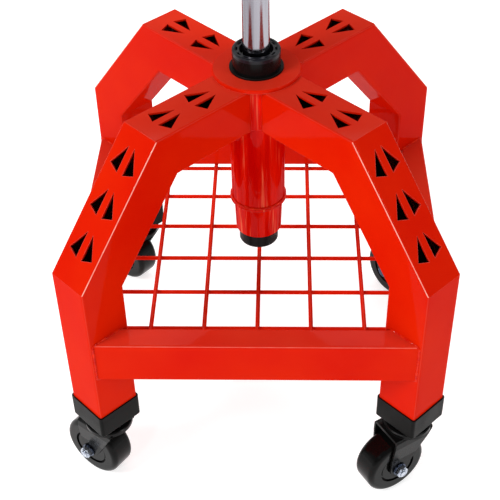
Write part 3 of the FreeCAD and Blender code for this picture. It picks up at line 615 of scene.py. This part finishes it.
def cushion():
    """The vinyl cover blown up by its foam, held in at the two piped seams and under the board."""
    pipe_low, pipe_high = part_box("seat_piping")
    upper, lower = pipe_high.z - PIPE_R, pipe_low.z + PIPE_R
    side = SEAT_HIGH.x - PIPE_R
    slack = 0.0006
    board = BOARD_HIGH.x + slack
    crown = SEAT_HIGH.z - upper
    wrap = BOARD_LOW.z - 0.0008
    turned_in = board - 0.014
    profile = [(0, BOARD_HIGH.z + slack), (board, BOARD_HIGH.z + slack), (board, wrap), (turned_in, wrap),
               (turned_in, SEAT_LOW.z), (side - 0.003, SEAT_LOW.z), (side, lower),
               (side + 0.0005, (upper + lower) / 2), (side, upper), (side * 0.97, upper + crown * 0.18),
               (side * 0.86, upper + crown * 0.42), (side * 0.66, upper + crown * 0.62),
               (side * 0.40, upper + crown * 0.74), (0, upper + crown * 0.78)]
    mesh = mesh_of("seat_cushion_cover", *lathe(profile))
    cover = bpy.data.objects.new("seat_cushion_cover", mesh)
    scene.collection.objects.link(cover)
    depsgraph = bpy.context.evaluated_depsgraph_get
    remesh = cover.modifiers.new("remesh", "REMESH")
    remesh.mode, remesh.voxel_size = "VOXEL", CLOTH_VOXEL
    even = bpy.data.meshes.new_from_object(cover.evaluated_get(depsgraph()))
    cover.modifiers.clear()
    cover.data = even
    rest = np.empty(len(even.vertices) * 3)
    even.vertices.foreach_get("co", rest)
    rest = rest.reshape(-1, 3)
    radius = np.hypot(rest[:, 0], rest[:, 1])
    held = cover.vertex_groups.new(name="held")
    for index, (r, z) in enumerate(zip(radius, rest[:, 2])):
        at_seam = min(math.hypot(r - side, z - upper), math.hypot(r - side, z - lower)) < SEAM_HOLD
        if at_seam or z < lower - 0.002 or (z < BOARD_HIGH.z + 0.003 and r < board + 0.002):
            held.add([index], 1.0, "REPLACE")
    cloth = cover.modifiers.new("cloth", "CLOTH")
    settings = cloth.settings
    settings.quality, settings.mass = 6, 0.25
    settings.tension_stiffness = settings.compression_stiffness = 12
    settings.bending_stiffness = 0.35
    settings.use_pressure, settings.uniform_pressure_force = True, 4.0
    settings.shrink_min = -0.030
    settings.effector_weights.gravity = 0.0
    settings.vertex_group_mass = "held"
    cloth.collision_settings.use_collision = False
    for number in range(1, CLOTH_FRAMES + 1):
        scene.frame_set(number)
    swollen = bpy.data.meshes.new_from_object(cover.evaluated_get(depsgraph()))
    moved = np.empty(len(swollen.vertices) * 3)
    swollen.vertices.foreach_get("co", moved)
    step = moved.reshape(-1, 3) - rest
    length = np.linalg.norm(step, axis=1)
    step *= (np.minimum(length, CLOTH_REACH) / np.maximum(length, 1e-9))[:, None]
    cover.modifiers.clear()
    even.vertices.foreach_set("co", (rest + step).ravel())
    scene.frame_set(1)
    smooth = cover.modifiers.new("smooth", "SUBSURF")
    smooth.levels = smooth.render_levels = 1
    even.materials.clear()
    even.materials.append(MATERIALS["black_vinyl"])
    for face in even.polygons:
        face.use_smooth = True
    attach(cover, "seat")
    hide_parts("seat_cushion")
    return side, upper, lower, even


def piping(side, upper, lower):
    """Two welts of vinyl sewn over a cord, each a closed ring."""
    dice = random.Random(71)
    shapes = []
    for height in (upper, lower):
        path, radii, phase = [], [], dice.uniform(0, 6)
        count = 420
        for k in range(count):
            turn = 2 * math.pi * k / count
            wave = 0.0004 * math.sin(9 * turn + phase) + 0.0003 * math.sin(23 * turn)
            path.append(((side + 0.0006 + wave) * math.cos(turn), (side + 0.0006 + wave) * math.sin(turn),
                         height + 0.0004 * math.sin(14 * turn + phase)))
            radii.append(PIPE_R * (0.93 + 0.05 * math.sin(61 * turn)) * (1.0 + dice.gauss(0, 0.008)))
        shapes.append(swept(path, radii, sides=12))
    welts = add_object("seat_welts", joined("seat_welts", shapes), "black_vinyl", "seat")
    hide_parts("seat_piping")


def stitches(side, upper, lower, cover):
    """A row of lock stitches beside each welt, laid on the cover's surface."""
    verts = [v.co.copy() for v in cover.vertices]
    surface = BVHTree.FromPolygons(verts, [tuple(p.vertices) for p in cover.polygons])
    shapes = []
    spacing, length, thick = 0.0052, 0.0036, 0.00042
    for reach, height, outward in ((side - 0.0075, upper + 0.004, False), (side, upper - 0.0075, True),
                                   (side, lower + 0.0075, True)):
        count = int(2 * math.pi * reach / spacing)
        for k in range(count):
            points = []
            for share in (-0.5, -0.2, 0.2, 0.5):
                turn = 2 * math.pi * (k + share * length / spacing) / count
                guess = Vector((reach * math.cos(turn), reach * math.sin(turn), height))
                if outward:
                    start = Vector((guess.x * 1.2, guess.y * 1.2, height))
                    heading = Vector((-guess.x, -guess.y, 0)).normalized()
                else:
                    start = Vector((guess.x, guess.y, height + 0.1))
                    heading = Vector((0, 0, -1))
                hit, normal = surface.ray_cast(start, heading)[:2]
                if hit is None:
                    break
                sunk = -0.0004 if abs(share) == 0.5 else 0.0003
                points.append(hit + normal * sunk)
            if len(points) == 4:
                shapes.append(swept(points, [thick * 0.7, thick, thick, thick * 0.7], sides=6, closed=False))
    add_object("seat_stitches", joined("seat_stitches", shapes), "thread", "seat")


def staples():
    """The cover's turned-in edge is stapled up into the board."""
    dice = random.Random(3)
    shapes = []
    count, wire, span, sink = 48, 0.00045, 0.0095, 0.0016
    for k in range(count):
        turn = 2 * math.pi * (k + dice.uniform(-0.18, 0.18)) / count
        reach = BOARD_HIGH.x - 0.007 + dice.uniform(-0.001, 0.001)
        lean = turn + math.pi / 2 + dice.uniform(-0.25, 0.25)
        middle = Vector((reach * math.cos(turn), reach * math.sin(turn), SEAT_LOW.z - wire * 0.4))
        along = Vector((math.cos(lean), math.sin(lean), 0)) * (span / 2)
        up = Vector((0, 0, sink))
        corners = [middle - along + up, middle - along, middle + along, middle + along + up]
        path = resampled(corners, 0.0008, closed=False)
        shapes.append(swept(path, [wire] * len(path), sides=6, closed=False))
    add_object("seat_staples", joined("seat_staples", shapes), "zinc", "seat")


# ------------------------------------------------------------------ floor, light and camera
WALL_LIGHT, CEILING_LIGHT = 1.0, 0.28       # the white room is brightest low down, where the floor meets it
WALL_TOP, CEILING_START = 0.06, 0.30        # sines of the elevations between which the wall fades
FLOOR_REACH, FLOOR_SEAMS = 14.0, 12
LAMP_TARGET = Vector((0, 0, 0.25))
LAMPS = (                                   # name, place, size in metres and power in watts
    ("key_softbox", (-1.9, -1.3, 2.3), (0.9, 0.9), 50),
    ("fill_softbox", (2.1, -1.2, 1.9), (0.7, 0.7), 17),
    ("glint_lamp", (-0.7, -1.5, 1.2), (0.10, 0.10), 5),
    ("top_softbox", (0.0, 1.5, 2.7), (3.0, 2.0), 50),
)


def stage():
    """A pale floor, a white room around it, three soft lamps and a small hard one for the glints."""
    floor_mesh = bpy.data.meshes.new("floor")
    bm = bmesh.new()
    bmesh.ops.create_grid(bm, x_segments=FLOOR_SEAMS, y_segments=FLOOR_SEAMS, size=FLOOR_REACH)
    bm.to_mesh(floor_mesh)
    bm.free()
    floor = bpy.data.objects.new("floor", floor_mesh)
    scene.collection.objects.link(floor)
    s = Shader("floor", (0.62, 0.62, 0.62), 0.9, Specular_IOR_Level=0.1, Emission_Color=(1, 1, 1, 1),
               Emission_Strength=0.66)
    s.feed("Base Color", s.mix(s.noise(3.0, 2.0), (0.61, 0.61, 0.61), (0.64, 0.64, 0.64)))
    floor_mesh.materials.append(s.material)

    world = bpy.data.worlds.new("studio")
    world.use_nodes = True
    tree = world.node_tree
    backdrop = tree.nodes["Background"]
    backdrop.inputs["Color"].default_value = (1, 1, 1, 1)
    height = tree.nodes.new("ShaderNodeSeparateXYZ")
    fade = tree.nodes.new("ShaderNodeMapRange")
    tree.links.new(tree.nodes.new("ShaderNodeTexCoord").outputs["Generated"], height.inputs[0])
    tree.links.new(height.outputs["Z"], fade.inputs["Value"])
    for socket, value in (("From Min", WALL_TOP), ("From Max", CEILING_START),
                          ("To Min", WALL_LIGHT), ("To Max", CEILING_LIGHT)):
        fade.inputs[socket].default_value = value
    tree.links.new(fade.outputs[0], backdrop.inputs["Strength"])
    scene.world = world

    for name, place, size, power in LAMPS:
        light = bpy.data.lights.new(name, "AREA")
        light.shape = "RECTANGLE"
        light.size, light.size_y = size
        light.energy = power
        lamp = bpy.data.objects.new(name, light)
        lamp.location = place
        lamp.rotation_euler = (LAMP_TARGET - Vector(place)).to_track_quat("-Z", "Y").to_euler()
        scene.collection.objects.link(lamp)

    scene.view_settings.view_transform = "Standard"
    scene.view_settings.look = "None"


def camera():
    """Above the front of the base, looking down at it, with its lens and shift."""
    pitch, yaw, roll = (math.radians(a) for a in (41.12, -2.00, -1.17))
    forward = Vector((math.sin(yaw) * math.cos(pitch), math.cos(yaw) * math.cos(pitch), -math.sin(pitch)))
    level = Vector((math.cos(yaw), -math.sin(yaw), 0))
    above = level.cross(forward)
    right = math.cos(roll) * level + math.sin(roll) * above
    up = -math.sin(roll) * level + math.cos(roll) * above
    data = bpy.data.cameras.new("camera")
    data.lens, data.sensor_width = 80.84, 36.0
    data.shift_x, data.shift_y = -0.0037, 0.0022
    eye = bpy.data.objects.new("camera", data)
    eye.matrix_world = Matrix.Translation((0.0260, -0.9916, HUB_TOP + 0.6186)) @ Matrix(
        (right, up, -forward)).transposed().to_4x4()
    scene.collection.objects.link(eye)
    scene.camera = eye


rail_welds()
column_welds()
arm_welds()
tray_welds()
seam_radius, upper_seam, lower_seam, cover_mesh = cushion()
piping(seam_radius, upper_seam, lower_seam)
stitches(seam_radius, upper_seam, lower_seam, cover_mesh)
staples()
camera()
stage()
